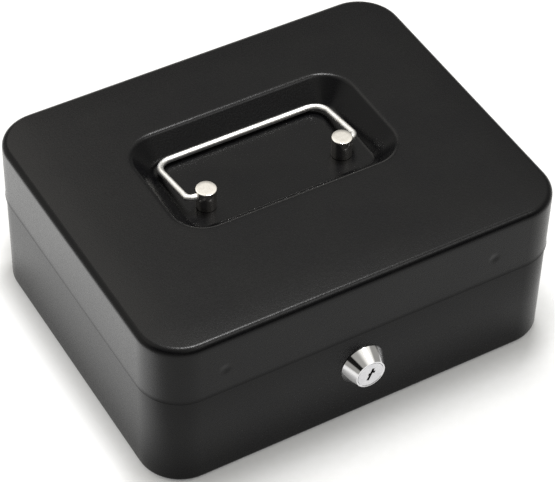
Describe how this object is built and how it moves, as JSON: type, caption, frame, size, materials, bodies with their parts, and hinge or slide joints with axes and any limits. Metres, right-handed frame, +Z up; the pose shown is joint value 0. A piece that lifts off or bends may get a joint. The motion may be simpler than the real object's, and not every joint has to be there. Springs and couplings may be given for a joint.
{
  "type": "cash box",
  "caption": "Portable steel cash box with a hinged lid, a wire bail handle sunk in the lid, a cam lock in the front wall and a lift-out coin tray.",
  "frame": {"origin": "middle of the base's underside", "axes": "+Z up, -Y towards the lock, +X to the right as seen from the front"},
  "size_m": [0.2, 0.1785, 0.082],
  "materials": {
    "coated_steel": "fine-textured satin powder coat",
    "coated_leaf": "satin powder coat",
    "zinc_steel": "bright zinc plate",
    "lock_chrome": "polished chrome plate",
    "plug_chrome": "satin chrome plate",
    "wafer_brass": "stamped brass",
    "tray_plastic": "fine-grained moulded plastic",
    "post_chrome": "polished chrome plate",
    "bail_chrome": "polished chrome plate"
  },
  "bodies": {
    "base": {"base_shell": "coated_steel", "base_hinge_leaf": "coated_leaf", "base_rivets": "zinc_steel", "hinge_pin": "zinc_steel", "lock_barrel": "lock_chrome", "lock_washer": "zinc_steel", "lock_nut": "zinc_steel", "tray_ledge_left": "coated_leaf", "tray_ledge_right": "coated_leaf"},
    "plug": {"lock_plug": "plug_chrome", "lock_wafers": "wafer_brass", "lock_cam": "zinc_steel", "cam_washer": "zinc_steel", "cam_screw": "zinc_steel"},
    "tray": {"coin_tray": "tray_plastic"},
    "lid": {"lid_shell": "coated_steel", "lid_hinge_leaf": "coated_leaf", "lid_rivets": "zinc_steel", "lid_catch": "coated_leaf", "handle_post_left": "post_chrome", "handle_post_right": "post_chrome", "post_washers": "zinc_steel", "post_screws": "zinc_steel"},
    "bail": {"handle_bail": "bail_chrome"}
  },
  "joints": [
    {"name": "lid_hinge", "type": "hinge", "parent": "base", "child": "lid", "pos_m": [0, 0.0828, 0.05], "axis": [-1, 0, 0], "range_deg": [0, 106]},
    {"name": "lock_turn", "type": "hinge", "parent": "base", "child": "plug", "pos_m": [-0.0022, -0.0868, 0.0303], "axis": [0, 1, 0], "range_deg": [0, 90]},
    {"name": "bail_swing", "type": "hinge", "parent": "lid", "child": "bail", "pos_m": [-0.0003, -0.0001, 0.07895], "axis": [1, 0, 0], "range_deg": [0, 176]},
    {"name": "tray_lift", "type": "slide", "parent": "base", "child": "tray", "axis": [0, 0, 1], "range_m": [0, 0.008]}
  ]
}
